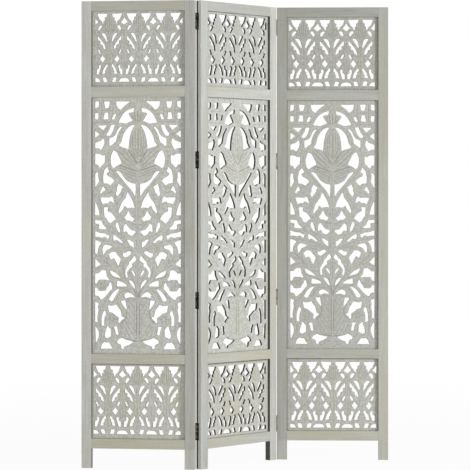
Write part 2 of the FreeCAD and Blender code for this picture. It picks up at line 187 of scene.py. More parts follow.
# Tool cuts: depth, widths to the left and right where they aren't the tool's, strokes.
tallCuts = [
    # Lily: top petal, its edge over the side petals, side petals, lower petals
    (0.7, 3.0, 3.0, [[(0, 897), (0, 860), (0, 800), (0, 764)],
                     [(49, 731), (40, 731), (26, 721), (12, 711), (0, 704)]]),
    (0.5, 3.0, 3.0, [[(5, 888), (7, 860), (7, 830), (5, 800), (1, 768)],
                     [(16, 852), (18, 828), (15, 803), (8, 776)]]),
    (0.6, 3.2, 3.2, [[(11, 874), (13, 850), (13, 825), (10, 797), (4, 770)],
                     [(45, 815), (36, 806), (27, 790), (16, 769), (4, 744)],
                     [(53, 797), (46, 779), (38, 763), (26, 747), (8, 727)]]),
    (0.9, 5.5, 2.6, [[(22, 808), (16, 790), (8, 768), (0, 748)]]),
    (0.7, 3.2, 3.2, [[(51, 808), (43, 796), (34, 780), (22, 760), (6, 734)]]),
    (0.9, 2.6, 5.5, [[(55, 731), (48, 741), (40, 741), (26, 732), (12, 723), (0, 716)]]),
    (0.6, 3.0, 3.0, [[(46, 723), (36, 719), (24, 709), (12, 700), (0, 693)]]),
    (0.5, 2.6, 2.6, [[(34, 706), (22, 696), (10, 687), (0, 681)]]),
    # Finial and arches
    (0.9, [[(0, 965), (0, 940), (0, 912)], [(7, 958), (8, 945), (4, 920)]]),
    (0.7, [[(15, 951), (11, 935), (6, 917)]]),
    (0.5, [[(6, 991), (22, 979), (34, 966), (43, 949), (49, 930), (51, 914)],
           [(5, 916), (20, 907), (30, 897), (38, 880), (42, 862), (46, 842), (52, 826)],
           [(60, 816), (68, 797), (70, 770), (68, 748), (62, 726), (54, 706), (45, 688), (36, 670),
            (27, 652), (17, 630), (8, 606)]]),
    # Crossing bands in the corners
    (0.6, [[(58, 998), (58, 962), (63, 920)], [(85, 998), (84, 962), (86, 920)],
           [(54, 963), (75, 965), (98, 963)], [(52, 917), (75, 917), (98, 916)],
           [(67, 906), (72, 884), (82, 868), (92, 846)],
           [(97, 892), (86, 878), (77, 862), (72, 842), (71, 820)]]),
    # Stem, side buds and scrolls
    (0.5, [[(0, 664), (0, 640), (0, 608), (0, 580)], [(9, 565), (6, 545), (2, 520)],
           [(17, 566), (12, 552), (6, 536)], [(0, 498), (0, 478), (0, 455)],
           [(22, 508), (15, 497), (10, 488)], [(84, 722), (86, 700), (85, 676), (82, 665)],
           [(29, 642), (36, 618), (44, 598), (49, 575), (48, 552)],
           [(56, 628), (52, 605), (49, 585), (56, 568), (64, 562)],
           [(92, 640), (90, 615), (88, 590), (84, 560), (82, 535)],
           [(36, 522), (40, 545), (46, 540), (48, 524)],
           [(58, 502), (66, 490), (70, 476), (60, 470), (52, 466)]]),
    (0.6, [[(0, 568), (0, 545), (0, 512)], [(62, 648), (68, 655), (75, 654), (80, 648)],
           [(60, 636), (66, 632), (74, 630)]]),
    (0.8, 2.5, 1.8, [[(24, 516), (15, 508), (6, 503), (0, 502)]]),
    # Sprays below the bell
    (0.6, [[(2, 445), (4, 425), (4, 400)], [(8, 400), (22, 408), (36, 418), (50, 428), (64, 432)],
           [(10, 396), (24, 402), (40, 408), (54, 408)], [(26, 452), (36, 458), (48, 470), (56, 482)],
           [(66, 432), (76, 438), (86, 444), (98, 446)], [(38, 395), (48, 400), (56, 402)],
           [(70, 340), (71, 356), (73, 372)], [(66, 332), (76, 338), (86, 335), (96, 322)],
           [(76, 354), (85, 356), (92, 364)]]),
    (0.7, [[(58, 326), (68, 340), (77, 356), (86, 374), (90, 388)]]),
    # Bud over the vase and the blades that rise from its mouth
    (0.6, [[(0, 372), (0, 340), (0, 300), (0, 255)],
           [(88, 188), (86, 160), (89, 130), (89, 104), (86, 80), (84, 55), (88, 30)]]),
    (0.5, [[(6, 345), (5, 330), (2, 312)], [(62, 232), (70, 208), (76, 192), (84, 184)],
           [(59, 96), (58, 75), (57, 50), (54, 30), (50, 10)]]),
    (0.7, [[(3, 246), (9, 276), (16, 294), (20, 312), (16, 324)],
           [(4, 240), (13, 252), (22, 271), (30, 284), (33, 305), (34, 330), (35, 356)],
           [(22, 246), (30, 272), (44, 283), (58, 287), (66, 296), (70, 316)],
           [(18, 240), (34, 246), (50, 247), (56, 258), (60, 278)],
           [(12, 232), (30, 238), (40, 230), (47, 210), (52, 192)]]),
    # Vase: rim, midrib, waist, mouth, foot
    (0.6, [[(29, 192), (26, 200), (19, 205), (8, 203), (0, 197)], [(28, 22), (16, 13), (0, 10)]]),
    (1.1, [[(3, 200), (3, 120), (3, 40)]]),
    (0.5, [[(8, 196), (8, 120), (8, 44)]]),
    (0.9, 2.3, 3.2, [[(30, 172), (27, 155), (26, 138), (29, 122), (37, 107), (42, 101)]]),
    (1.0, [[(1, 202), (4, 220), (9, 240), (15, 256)]]),
    (0.9, [[(0, 208), (3, 232), (5, 250)]]),
    (1.2, 3.2, 1.8, [[(41, 52), (32, 42), (18, 36), (0, 34)]]),
]

tallBoard = {
    "fieldWidth": 310.0,
    "fieldBase": 23.0,     # either end of the board to the pierced field
    "cell": 1.95,
    "axes": 1,
    "strokeReach": 9.0,    # how far the corners of a stroke are rounded
    "toolWidth": 2.3,
    "openings": tallOpenings,
    "cuts": tallCuts,
    "rosettes": [(82, 257, 19.0), (60, 122, 21.0)],   # place and radius in mm
    "vase": [(27, 201), (28, 188), (27, 165), (25, 146), (26, 131), (32, 116), (40, 103), (44, 88), (44, 72),
             (40, 58), (30, 46), (16, 38), (0, 35)],
    "vasePitch": 25.0,
    "vaseRise": 1.25,      # how steeply the vase's flutes rise outwards
    "vaseBend": 0.008,     # and how they steepen
    "vaseRib": 5.5,        # half width of its midrib
    "ribSlope": 3.0,       # over which the flutes deepen beside it
    "vaseInset": (1.0, 1.5),  # flutes off the foot and off the sides
    "fluteDepth": 0.52,
    "meetings": [],
}

rosette = {
    "petals": 6,
    "petalDepth": 0.7,
    "seam": 0.45,              # width of the groove between petals
    "petalStart": (0.25, 3),   # share of the radius, and how fast the grooves deepen from there
    "ring": (0.6, 0.30, 0.10),  # depth, share of the radius, width
    "bowl": (0.3, 0.52, 0.2),
    "rim": 1.15,
}

# Openings of the small boards, one side of a palmette's axis: percent of half a palmette's width,
# and thousandths of the height. The meetings straddle the line between two palmettes.
smallOpenings = [
    [(13, 1000), (20, 947), (33, 942), (29, 900), (41, 893), (39, 856), (46, 842), (57, 890), (70, 910),
     (88, 1000)],
    [(48, 814), (58, 832), (71, 823), (80, 788), (78, 748), (67, 756)],
    [(14, 567), (12, 600), (16, 630), (20, 675), (33, 712), (50, 720), (57, 705), (40, 655), (27, 608)],
    [(23, 453), (30, 535), (45, 588), (62, 632), (78, 676), (84, 680), (82, 612), (66, 604), (67, 553),
     (49, 543), (47, 500), (33, 482)],
    [(75, 486), (85, 473), (71, 410), (60, 416), (66, 450)],
    [(49, 404), (60, 372), (71, 343), (57, 305), (48, 279), (38, 315), (28, 342), (42, 366)],
    [(16, 284), (30, 242), (43, 205), (54, 120), (27, 132), (31, 168), (20, 188), (23, 213), (11, 230)],
    [(66, 264), (76, 250), (75, 205), (90, 190), (91, 112), (74, 112), (57, 230)],
    [(13, 6), (24, 76), (50, 74), (42, 6)],
]

smallMeetings = [
    [(100, 950), (88, 905), (73, 872), (88, 850), (100, 826)],
    [(60, 6), (66, 38), (79, 62), (100, 64)],
]

smallCuts = [
    (0.75, 2.2, 2.2, [[(0, 985), (0, 860), (0, 720)]]),
    (0.7, 2.2, 2.2, [[(14, 935), (15, 860), (14, 790), (7, 715)],
                     [(27, 885), (30, 835), (28, 780), (16, 722)]]),
    (0.6, [[(40, 840), (42, 800), (36, 755)],
           [(18, 505), (26, 575), (42, 630), (62, 682), (84, 740), (96, 790)],
           [(0, 690), (0, 600), (0, 440)], [(88, 620), (84, 560), (70, 500), (52, 440)],
           [(10, 430), (24, 390), (22, 300), (8, 250)], [(0, 420), (0, 330), (0, 60)],
           [(40, 285), (52, 225), (62, 140), (64, 100)]]),
    (0.5, [[(100, 780), (100, 640), (100, 500)], [(84, 420), (78, 350), (84, 280), (92, 210)],
           [(100, 430), (100, 300), (100, 100)]]),
]

smallBoard = {
    "fieldWidth": 313.0,
    "fieldBase": 18.0,
    "cell": 1.7,
    "axes": 3,
    "strokeReach": 6.0,
    "toolWidth": 2.0,
    "openings": smallOpenings,
    "meetings": smallMeetings,
    "cuts": smallCuts,
}

carving = {
    "cornerCut": 1.5,      # how far corners of an opening are rounded
    "cornerShare": 0.3,    # and at most, as a share of a side
    "cornerAgain": 0.4,    # second rounding as a share of the first
    "arrisReach": 2.0,     # rounding of the edges of openings, in from the edge
    "arrisDrop": 0.55,
    "backDrop": 0.3,
    "swell": 0.25,         # how much wide places stand above narrow ones
    "swellReach": 5.0,
    "rimReach": 2.2,       # how far darker wash runs in from an opening
    "cornerLimit": 0.8,    # least sum of two normals, so that sharp corners don't run away
    "wander": 0.7,         # hand-cut drift of the outlines
    "waves": (31, 47, 23, 37, 29, 19),
    "phases": (1.7, 0.9),  # by which the drift changes with the panel and with the board
    "fieldReach": 14.0,
    "cutGain": 1.5,        # depth of the tool cuts
    "cutEnds": (6, 0.25),  # how fast a cut deepens from its ends, and what it has there
    "tongue": 7.0,         # how far a board reaches into its stiles
    "crease": 55.0,        # degrees above which an edge stays sharp
}


def softened(points, reach, closed=True):
    # Corners cut back twice: each side loses the reach at both ends, or three tenths when short.
    for _ in range(2):
        after = np.roll(points, -1, axis=0)
        side = after - points
        length = np.maximum(np.linalg.norm(side, axis=1, keepdims=True), 1e-6)
        share = np.minimum(reach / length, carving["cornerShare"])
        cut = np.stack([points + share * side, after - share * side], axis=1).reshape(-1, 2)
        points = cut if closed else np.concatenate([points[:1], cut[:-2], points[-1:]])
        reach = reach * carving["cornerAgain"]
    return points


def grown(points, reach):
    # Each corner moves out along the mean of its two sides' normals, or in for a negative reach.
    after = np.roll(points, -1, axis=0)
    side = after - points
    turn = np.sign((points[:, 0] * after[:, 1] - points[:, 1] * after[:, 0]).sum())
    length = np.maximum(np.linalg.norm(side, axis=1), 1e-6)
    normal = np.stack([side[:, 1], -side[:, 0]], axis=1) / length[:, None]
    mean = normal + np.roll(normal, 1, axis=0)
    size = np.maximum(np.linalg.norm(mean, axis=1), carving["cornerLimit"])
    return points + turn * reach * mean / size[:, None]


def wandered(points, phase):
    # Slow waves push each point a little, so no two boards are cut quite alike.
    x, z = points[:, 0], points[:, 1]
    a, b, c, d, e, f = carving["waves"]
    push = np.stack([np.sin(x / a + z / b + phase) + np.sin(z / c - 2 * phase),
                     np.sin(z / d - x / e + 3 * phase) + np.sin(x / f + phase)], axis=1)
    return points + carving["wander"] / 2 * push


def strokeField(gridX, gridZ, points, reach, closed):
    # Over the grid points within reach: distance to the nearest side, the foot point on it, on
    # which side of the line the point lies, how far along the line the foot is, and whether the
    # point is inside, by counting the sides to its right.
    low, high = points.min(0) - reach, points.max(0) + reach
    near = (gridX > low[0]) & (gridX < high[0]) & (gridZ > low[1]) & (gridZ < high[1])
    spots = np.stack([gridX[near], gridZ[near]], axis=1)[:, None, :]
    start = points if closed else points[:-1]
    end = np.roll(points, -1, axis=0) if closed else points[1:]
    side = end - start
    length = np.maximum(np.linalg.norm(side, axis=1), 1e-6)
    along = np.clip(((spots - start) * side).sum(-1) / length ** 2, 0, 1)
    foot = start + along[..., None] * side
    away = spots - foot
    gap = np.linalg.norm(away, axis=-1)
    pick = gap.argmin(1)
    row = np.arange(len(pick))
    left = side[pick, 0] * away[row, pick, 1] - side[pick, 1] * away[row, pick, 0]
    reached = np.concatenate([[0], np.cumsum(length)])
    travel = (reached[pick] + along[row, pick] * length[pick]) / reached[-1]
    crossing = (start[:, 1] > spots[..., 1]) != (end[:, 1] > spots[..., 1])
    rise = np.where(np.abs(side[:, 1]) < 1e-9, 1e-9, side[:, 1])
    meetX = start[:, 0] + (spots[..., 1] - start[:, 1]) * side[:, 0] / rise
    inside = (crossing & (spots[..., 0] < meetX)).sum(1) % 2 == 1
    return near, gap[row, pick], foot[row, pick], left, travel, inside


def woodDistance(gridX, gridZ, outlines):
    # Signed distance to the nearest opening: positive in the wood, negative in the opening.
    distance = np.full(gridX.shape, carving["fieldReach"])
    footX, footZ = gridX.copy(), gridZ.copy()
    for outline in outlines:
        near, gap, foot, _, _, inside = strokeField(gridX, gridZ, outline, carving["fieldReach"], True)
        signed = np.where(inside, -gap, gap)
        closer = signed < distance[near]
        spot = np.flatnonzero(near)[closer]
        distance.flat[spot] = signed[closer]
        footX.flat[spot] = foot[closer, 0]
        footZ.flat[spot] = foot[closer, 1]
    return distance, footX, footZ


def cutDepth(gridX, gridZ, cuts):
    # Each stroke is a groove with a smooth bell section, shallower towards its ends.
    depth = np.zeros(gridX.shape)
    rise, least = carving["cutEnds"]
    for deep, leftWidth, rightWidth, points in cuts:
        near, gap, _, left, travel, _ = strokeField(gridX, gridZ, points, max(leftWidth, rightWidth), False)
        share = gap / np.where(left > 0, leftWidth, rightWidth)
        bell = np.clip(1 - share ** 2, 0, 1) ** 2
        taper = np.clip(rise * travel * (1 - travel) + least, 0, 1)
        depth[near] = np.maximum(depth[near], carving["cutGain"] * deep * bell * taper)
    return depth


def boardDesign(board, phase, height, openness):
    # Openings and strokes on both sides of each axis, then the meetings: whole between two axes,
    # and their inner half at the ends of the board.
    half = board["fieldWidth"] / (2 * board["axes"])
    scale = np.array([half / 100, height / 1000])
    axes = (np.arange(board["axes"]) - (board["axes"] - 1) / 2) * 2 * half
    outlines, cuts = [], []

    def addOpening(points):
        outlines.append(softened(grown(wandered(points, phase), openness), carving["cornerCut"]))

    for axis in axes:
        for sign in (1, -1):
            for points in board["openings"]:
                addOpening(np.array(points) * scale * [sign, 1] + [axis, 0])
            for deep, *widths, strokes in board["cuts"]:
                left, right = (widths or [board["toolWidth"]] * 2)[::sign]
                for points in strokes:
                    drawn = wandered(np.array(points) * scale * [sign, 1] + [axis, 0], phase)
                    cuts.append((deep, left, right, softened(drawn, board["strokeReach"], closed=False)))
    for points in board["meetings"]:
        inner = np.array(points) * scale
        mirrored = (inner * [-1, 1] + [2 * half, 0])[::-1]
        whole = np.concatenate([inner, mirrored[mirrored[:, 0] > half + 0.1]])
        halved = np.concatenate([inner, [[half, inner[0, 1]]]])
        for axis in axes[:-1]:
            addOpening(whole + [axis, 0])
        addOpening(halved + [axes[-1], 0])
        addOpening(halved * [-1, 1] + [axes[0], 0])
    return outlines, cuts


def tallForms(gridX, gridZ, height):
    # Rosettes: petals as lobes round a raised button. Vase: flutes that rise from the midrib.
    half = tallBoard["fieldWidth"] / 2
    depth = np.zeros(gridX.shape)
    for px, pz, radius in tallBoard["rosettes"]:
        dx, dz = np.abs(gridX) - px * half / 100, gridZ - pz * height / 1000
        reach, angle = np.hypot(dx, dz) / radius, np.arctan2(dz, dx)
        start, rise = rosette["petalStart"]
        seam = np.clip(1 - np.abs(np.sin(rosette["petals"] / 2 * angle)) / rosette["seam"], 0, 1)
        petal = rosette["petalDepth"] * seam * np.clip((reach - start) * rise, 0, 1)
        ring, bowl = (deep * np.exp(-((reach - middle) / width) ** 2)
                      for deep, middle, width in (rosette["ring"], rosette["bowl"]))
        depth = np.maximum(depth, np.where(reach < rosette["rim"], np.maximum(petal, ring) + bowl, 0))
    outline = np.array(tallBoard["vase"]) * [half / 100, height / 1000]
    edge = np.interp(gridZ, outline[::-1, 1], outline[::-1, 0])
    offFoot, offSide = tallBoard["vaseInset"]
    inVase = (gridZ < outline[0, 1]) & (gridZ > outline[-1, 1] + offFoot) & (np.abs(gridX) < edge - offSide)
    offRib = np.abs(gridX) - tallBoard["vaseRib"]
    climb = tallBoard["vaseRise"] * np.abs(gridX) + tallBoard["vaseBend"] * gridX ** 2
    wave = 0.5 + 0.5 * np.cos(2 * np.pi * (gridZ - climb) / tallBoard["vasePitch"])
    groove = tallBoard["fluteDepth"] * wave ** 2 * np.clip(offRib / tallBoard["ribSlope"], 0, 1)
    return np.where(inVase, np.maximum(depth, groove), depth)


def inScene(name, data):
    thing = bpy.data.objects.new(name, data)
    bpy.context.scene.collection.objects.link(thing)
    return thing


def carvedBoard(name, panelName, node, board, forms, phase, drift, openness):
    # Front and back are grids over the board. Cells inside openings are dropped, the grid points
    # round them move onto the outline, and a wall joins front to back along every free edge.
    # The drift moves the design on the board.
    low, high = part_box(node)
    fieldHeight = (high.z - low.z) * 1000 - 2 * board["fieldBase"]
    middleX, baseZ = panelSizes["width"] * 500 + drift[0], low.z * 1000 + board["fieldBase"] + drift[1]
    halfWidth = (panelSizes["width"] / 2 - panelSizes["stileWidth"]) * 1000 + carving["tongue"]
    columns = int(2 * halfWidth / board["cell"])
    rows = int((high.z - low.z) * 1000 / board["cell"])
    gridX, gridZ = np.meshgrid(np.linspace(-halfWidth, halfWidth, columns + 1) - drift[0],
                               np.linspace(low.z * 1000 - baseZ, high.z * 1000 - baseZ, rows + 1))
    outlines, cuts = boardDesign(board, phase, fieldHeight, openness)
    distance, footX, footZ = woodDistance(gridX, gridZ, outlines)

    first, last = slice(0, -1), slice(1, None)
    corners = [(first, first), (first, last), (last, last), (last, first)]
    kept = np.minimum.reduce([distance[c] for c in corners]) > -0.5 * board["cell"]
    # Two cells that touch at a corner alone get a third beside them.
    kept[:-1, 1:] |= kept[:-1, :-1] & kept[1:, 1:] & ~kept[:-1, 1:] & ~kept[1:, :-1]
    kept[:-1, :-1] |= kept[:-1, 1:] & kept[1:, :-1] & ~kept[:-1, :-1] & ~kept[1:, 1:]
    around = np.pad(kept, 1)
    inField = np.pad(np.ones_like(kept), 1)
    used = np.logical_or.reduce([around[c] for c in corners])
    onEdge = used & np.logical_or.reduce([inField[c] & ~around[c] for c in corners])
    gridX = np.where(onEdge, footX, gridX)
    gridZ = np.where(onEdge, footZ, gridZ)
    distance = np.where(onEdge, 0, np.maximum(distance, 0))

    # Height: edges rounded as a quarter ellipse, wide places swelling, tool cuts and forms sunk.
    inward = np.clip(distance / carving["arrisReach"], 0, 1)
    ellipse = 1 - np.sqrt(1 - (1 - inward) ** 2)
    swell = carving["swell"] * np.exp(-distance / carving["swellReach"])
    carved = cutDepth(gridX, gridZ, cuts)
    if forms:
        carved = np.maximum(carved, forms(gridX, gridZ, fieldHeight))
    setback, thickness = panelSizes["boardSetback"], panelSizes["boardThickness"]
    front = setback * 1000 + carving["arrisDrop"] * ellipse + swell + carved
    back = (setback + thickness) * 1000 - carving["backDrop"] * ellipse

    count = int(used.sum())
    number = np.full(used.shape, -1)
    number[used] = np.arange(count)
    across, up = middleX + gridX[used], baseZ + gridZ[used]
    verts = np.concatenate([toWorld(panelName, across, front[used], up),
                            toWorld(panelName, across, back[used], up)])

    a, b, c, d = (number[corner][kept] for corner in corners)
    faces = [np.stack([a, b, c, d], axis=1), np.stack([d, c, b, a], axis=1) + count]
    below, above = around[:-1, 1:-1], around[1:, 1:-1]
    leftOf, rightOf = around[1:-1, :-1], around[1:-1, 1:]
    walls = []
    for free, starts, ends in (
        (above & ~below, number[:, 1:], number[:, :-1]),
        (below & ~above, number[:, :-1], number[:, 1:]),
        (rightOf & ~leftOf, number[:-1], number[1:]),
        (leftOf & ~rightOf, number[1:], number[:-1]),
    ):
        p, q = starts[free], ends[free]
        walls.append(np.stack([p, q, q + count, p + count], axis=1))
    walls = np.concatenate(walls)
    faces = np.concatenate(faces + [walls])

    mesh = bpy.data.meshes.new(name)
    mesh.vertices.add(len(verts))
    mesh.vertices.foreach_set("co", verts.astype(np.float32).ravel())
    mesh.loops.add(faces.size)
    mesh.loops.foreach_set("vertex_index", faces.astype(np.int32).ravel())
    mesh.polygons.add(len(faces))
    mesh.polygons.foreach_set("loop_start", np.arange(len(faces), dtype=np.int32) * 4)
    mesh.update(calc_edges=True)
    mesh.validate()
    mesh.shade_smooth()
    mesh.set_sharp_from_angle(angle=math.radians(carving["crease"]))

    # Marks for the finish and its painted shade: depth of the carving, nearness of an opening, sawn walls.
    rim = np.exp(-distance[used] / carving["rimReach"])
    sawn = np.zeros(faces.size)
    sawn[-walls.size:] = 1
    for label, domain, values in (
        ("sunk", "POINT", np.concatenate([carved[used], np.zeros(count)])),
        ("rim", "POINT", np.concatenate([rim, rim])),
        ("sawn", "CORNER", sawn),
    ):
        mesh.attributes.new(label, "FLOAT", domain).data.foreach_set("value", values.astype(np.float32))

    piece = inScene(name, mesh)
    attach(piece, f"{panelName}_panel")
    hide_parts(node)
    print(f"{name}: {len(faces)} faces")
    return piece


# Finishes

def feed(tree, node, inputs):
    # Sockets are linked, plain values are set.
    for key, value in inputs.items():
        if isinstance(value, bpy.types.NodeSocket):
            tree.links.new(value, node.inputs[key])
        else:
            node.inputs[key].default_value = value


def addNode(tree, kind, inputs=None, **settings):
    node = tree.nodes.new(kind)
    for key, value in settings.items():
        setattr(node, key, value)
    feed(tree, node, inputs or {})
    return node


def mixColours(tree, factor, first, second):
    return addNode(tree, "ShaderNodeMix", {0: factor, 6: first, 7: second}, data_type="RGBA").outputs[2]


def spread(tree, value, fromLow, fromHigh, toLow=0.0, toHigh=1.0):
    node = addNode(tree, "ShaderNodeMapRange", {0: value, 1: fromLow, 2: fromHigh, 3: toLow, 4: toHigh})
    return node.outputs[0]


def maths(tree, operation, first, second=0.0):
    return addNode(tree, "ShaderNodeMath", {0: first, 1: second}, operation=operation).outputs[0]


def strongest(tree, *values):
    total = values[0]
    for value in values[1:]:
        total = maths(tree, "MAXIMUM", total, value)
    return total


def vectorMaths(tree, operation, inputs):
    return addNode(tree, "ShaderNodeVectorMath", inputs, operation=operation).outputs


# Scale, detail and roughness of each pattern.
noises = {
    "streak": (190.0, 5.0, 0.6),
    "broad": (45.0, 3.0, 0.5),
    "cloud": (9.0, 3.0, 0.55),
    "speck": (420.0, 2.0, 0.5),
    "fleck": (130.0, 4.0, 0.7),
    "drift": (16.0, 2.0, 0.5),
    "patch": (130.0, 4.0, 0.5),
}


def noise(tree, place, kind):
    scale, detail, roughness = noises[kind]
    return addNode(tree, "ShaderNodeTexNoise", {"Vector": place, "Scale": scale, "Detail": detail,
                                                "Roughness": roughness}).outputs[0]


def newMaterial(name):
    material = bpy.data.materials.new(name)
    material.use_nodes = True
    return material, material.node_tree, material.node_tree.nodes["Principled BSDF"]


# How much of each pattern shows: where it starts and is full, and its shares there.
washSteps = {
    "streak": (0.36, 0.66, 0, 1),
    "broad": (0.42, 0.68, 0, 0.55),
    "cloud": (0.46, 0.70, 0, 0.75),
    "speck": (0.62, 0.75, 0, 0.25),
    "fleck": (0.38, 0.62, 0, 1),
    "drift": (0.35, 0.65, 0.4, 1.3),
    "bareShaded": (0.35, 0.75, 0, 1),
    "roughness": (0.3, 0.7, 0.78, 0.58),
}

greyWash = {
    "pale": (0.62, 0.63, 0.60, 1),
    "grey": (0.47, 0.48, 0.45, 1),
    "warm": (0.51, 0.495, 0.40, 1),
    # darker wash in cuts and specks, also painted shade where the boards meet their frames
    "hollow": (0.24, 0.23, 0.185, 1),
    "ochre": (0.50, 0.465, 0.33, 1),
    "fleckDark": (0.415, 0.42, 0.385, 1),
    "fleckPale": (0.67, 0.68, 0.645, 1),
    # Bare wood made darker than it is, as painted shade on sawn walls, the stiles' inner faces and the rear
    # of the outer edges.
    "bareShadedEdge": (0.020, 0.017, 0.011, 1),
    "bareShadedGrain": (0.045, 0.038, 0.025, 1),
    "grainStretch": 0.045,        # along the grain, of its scale across
    "cloudStretch": 0.22,
    "grainShift": (0.37, 0.11, 0),  # for each letter of the name, so that members differ
    "gloss": 0.25,
    "grainStrength": 0.18,
    "grainDepth": 0.0008,
    "broadHeight": 0.6,           # of the streaks' height
    "frameMottle": 0.15,
    "boardMottle": 0.7,
}


def washGroup():
    # Grey wash over grain that runs along the Z of Place. Hollow holds darker wash and painted shade,
    # the bare input shows cut wood darkened further as painted shade, Mottle brings flecks, Tone lightens or
    # darkens, also as painted light and shade, Warmth brings ochre through in clouds. Puts out the colour,
    # the roughness and the height of the grain.
    tree = bpy.data.node_groups.new("greyWash", "ShaderNodeTree")
    for label, way, kind in (
        ("Place", "INPUT", "Vector"), ("Hollow", "INPUT", "Float"), ("Raw", "INPUT", "Float"),
        ("Mottle", "INPUT", "Float"), ("Tone", "INPUT", "Float"), ("Warmth", "INPUT", "Float"),
        ("Colour", "OUTPUT", "Color"), ("Roughness", "OUTPUT", "Float"), ("Height", "OUTPUT", "Float"),
    ):
        tree.interface.new_socket(label, in_out=way, socket_type=f"NodeSocket{kind}")
    given = addNode(tree, "NodeGroupInput").outputs
    stretched, clouded = (
        addNode(tree, "ShaderNodeMapping", {"Vector": given["Place"], "Scale": (1, 1, share)}).outputs[0]
        for share in (greyWash["grainStretch"], greyWash["cloudStretch"]))
    streak, broad = noise(tree, stretched, "streak"), noise(tree, stretched, "broad")
    cloud, drifting = noise(tree, clouded, "cloud"), noise(tree, clouded, "drift")
    speck, fleck = noise(tree, given["Place"], "speck"), noise(tree, given["Place"], "fleck")
    washed = mixColours(tree, spread(tree, streak, *washSteps["streak"]), greyWash["grey"], greyWash["pale"])
    washed = mixColours(tree, spread(tree, broad, *washSteps["broad"]), washed, greyWash["pale"])
    washed = mixColours(tree, spread(tree, cloud, *washSteps["cloud"]), washed, greyWash["warm"])
    washed = mixColours(tree, spread(tree, speck, *washSteps["speck"]), washed, greyWash["hollow"])
    flecked = mixColours(tree, spread(tree, fleck, *washSteps["fleck"]),
                         greyWash["fleckDark"], greyWash["fleckPale"])
    mottled = mixColours(tree, given["Mottle"], washed, flecked)
    through = maths(tree, "MULTIPLY", given["Warmth"], spread(tree, drifting, *washSteps["drift"]))
    warmed = mixColours(tree, through, mottled, greyWash["ochre"])
    toned = vectorMaths(tree, "SCALE", {0: warmed, "Scale": given["Tone"]})[0]
    held = mixColours(tree, given["Hollow"], toned, greyWash["hollow"])
    bareShaded = mixColours(tree, spread(tree, broad, *washSteps["bareShaded"]), greyWash["bareShadedEdge"], greyWash["bareShadedGrain"])
    addNode(tree, "NodeGroupOutput", {
        "Colour": mixColours(tree, given["Raw"], held, bareShaded),
        "Roughness": spread(tree, streak, *washSteps["roughness"]),
        "Height": maths(tree, "ADD", streak, maths(tree, "MULTIPLY", broad, greyWash["broadHeight"])),
    })
    return tree


washTree = washGroup()


def woodMaterial(name, panelName, grain, inputs):
    # The first mapping turns frame coordinates into the panel's own, the second lays the grain
    # along Z. The wash's inputs are numbers, or functions that build a mask.
    corner, turn = places[panelName]
    material, tree, shader = newMaterial(name)
    coords = addNode(tree, "ShaderNodeTexCoord").outputs["Object"]
    local = addNode(tree, "ShaderNodeMapping", {"Vector": coords, "Location": (corner[0], corner[1], 0),
                                                "Rotation": (0, 0, turn)}, vector_type="TEXTURE").outputs[0]
    tip = (0, math.radians(90), 0) if grain == "across" else (0, 0, 0)
    shift = [len(name) * step for step in greyWash["grainShift"]]
    laid = addNode(tree, "ShaderNodeMapping", {"Vector": local, "Rotation": tip,
                                               "Location": shift}).outputs[0]
    wash = addNode(tree, "ShaderNodeGroup", {"Place": laid}, node_tree=washTree)
    for label, given in inputs.items():
        feed(tree, wash, {label: given(tree, local) if callable(given) else given})
    bump = addNode(tree, "ShaderNodeBump", {"Strength": greyWash["grainStrength"],
                                            "Distance": greyWash["grainDepth"],
                                            "Height": wash.outputs["Height"]})
    feed(tree, shader, {"Base Color": wash.outputs["Colour"], "Roughness": wash.outputs["Roughness"],
                        "Normal": bump.outputs[0], "Specular IOR Level": greyWash["gloss"]})
    return material


# Where darker wash, bare wood, painted shade and painted light lie. By a mark on the mesh: where it
# starts, where it is full, how much. By distance in metres: where it is full, where it ends, how much.
wearAndShading = {
    "cuts": (0.1, 1.6, 0.8),
    "rims": (0.2, 1.0, 0.36),
    "sawn": (0.5, 1.0, 1.0),
    # painted shade along the board's sides by the stiles, partly a dark joint
    "boardSideShade": (0.0010, 0.0026, 0.95),
    # painted shade, partly bare wood, on the stiles' inner faces by the windows
    "revealShade": (0.0002, 0.0006, 0.86),
    "outerEdges": (0.0002, 0.0006, 0.95),
    # painted shade, with bare wood, on the rear of the outer edges, where the panels meet at the folds
    "outerRearShade": (0.0130, 0.0155),  # from the front face, where bare edges start and are full
    # painted light on the stiles' outer edges
    "outerEdgeLight": 1.25,
    "foldLine": (0.0016, 0.0034, 0.95),
    "endCore": 0.3,                 # share of a window end's reach that is full
    "endReveal": 0.23,              # and of its reach on the rail itself
    # over which the legs' painted light comes in
    "legLightStep": 0.004,
}


def fromAttribute(label, low, high, most):
    def build(tree, local):
        value = addNode(tree, "ShaderNodeAttribute", attribute_name=label).outputs["Fac"]
        return spread(tree, value, low, high, 0, most)
    return build


def axesOf(tree, place):
    return addNode(tree, "ShaderNodeSeparateXYZ", {0: place}).outputs


def offMark(tree, value, mark):
    return maths(tree, "ABSOLUTE", maths(tree, "SUBTRACT", value, mark))


def besideEither(tree, value, marks, full, none, most, least=0):
    # Falls from the most to the least with the distance to the closer of two marks.
    gap = maths(tree, "MINIMUM", offMark(tree, value, marks[0]), offMark(tree, value, marks[1]))
    return spread(tree, gap, full, none, most, least)


def alongEdges(tree, value, edges, share):
    # Strongest of several lines: each edge has its strength, which fades over a share of its reach.
    return strongest(tree, *(
        spread(tree, offMark(tree, value, mark), wearAndShading["endCore"] * share * reach, share * reach, strength, 0)
        for mark, strength, reach in edges))


